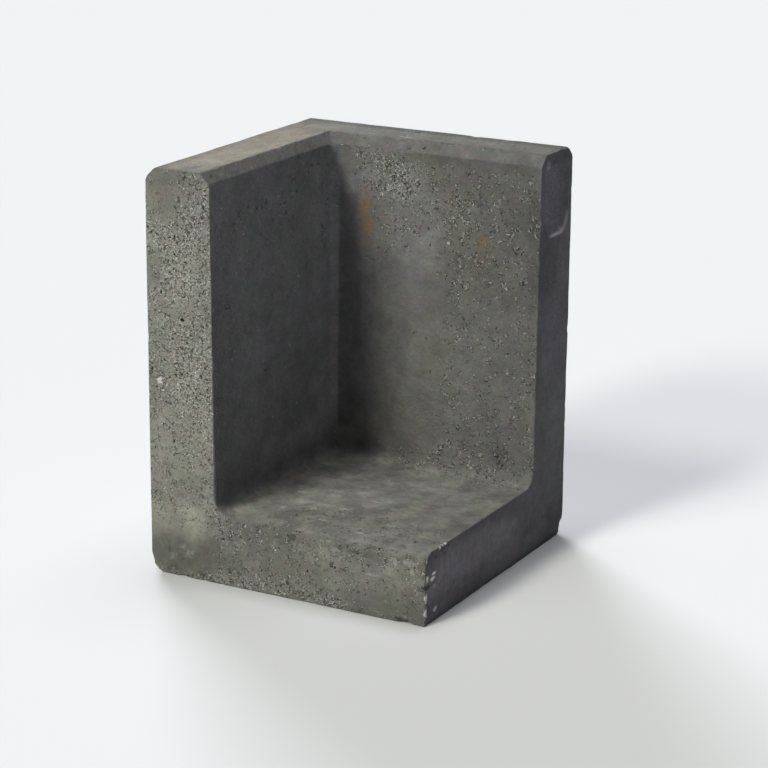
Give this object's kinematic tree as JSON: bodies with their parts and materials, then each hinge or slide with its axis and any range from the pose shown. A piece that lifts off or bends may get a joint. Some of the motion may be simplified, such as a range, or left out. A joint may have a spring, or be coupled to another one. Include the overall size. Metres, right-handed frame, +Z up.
{
  "type": "concrete l-shaped corner element",
  "caption": "Small one-piece concrete corner element for edging and low retaining walls: a square foot with two upright walls meeting at one corner.",
  "frame": {"origin": "centre of the square foot on its underside, midway along both sides", "axes": "+Z up along the walls; +X from the left wall's outer face towards the free right side; +Y from the free front side towards the back wall's outer face"},
  "size_m": [0.3, 0.3, 0.4],
  "materials": {
    "concrete": "rough grey precast concrete with sand grains, smoother where it lay against the mould"
  },
  "bodies": {
    "root": {"corner_element": "concrete"}
  },
  "joints": []
}
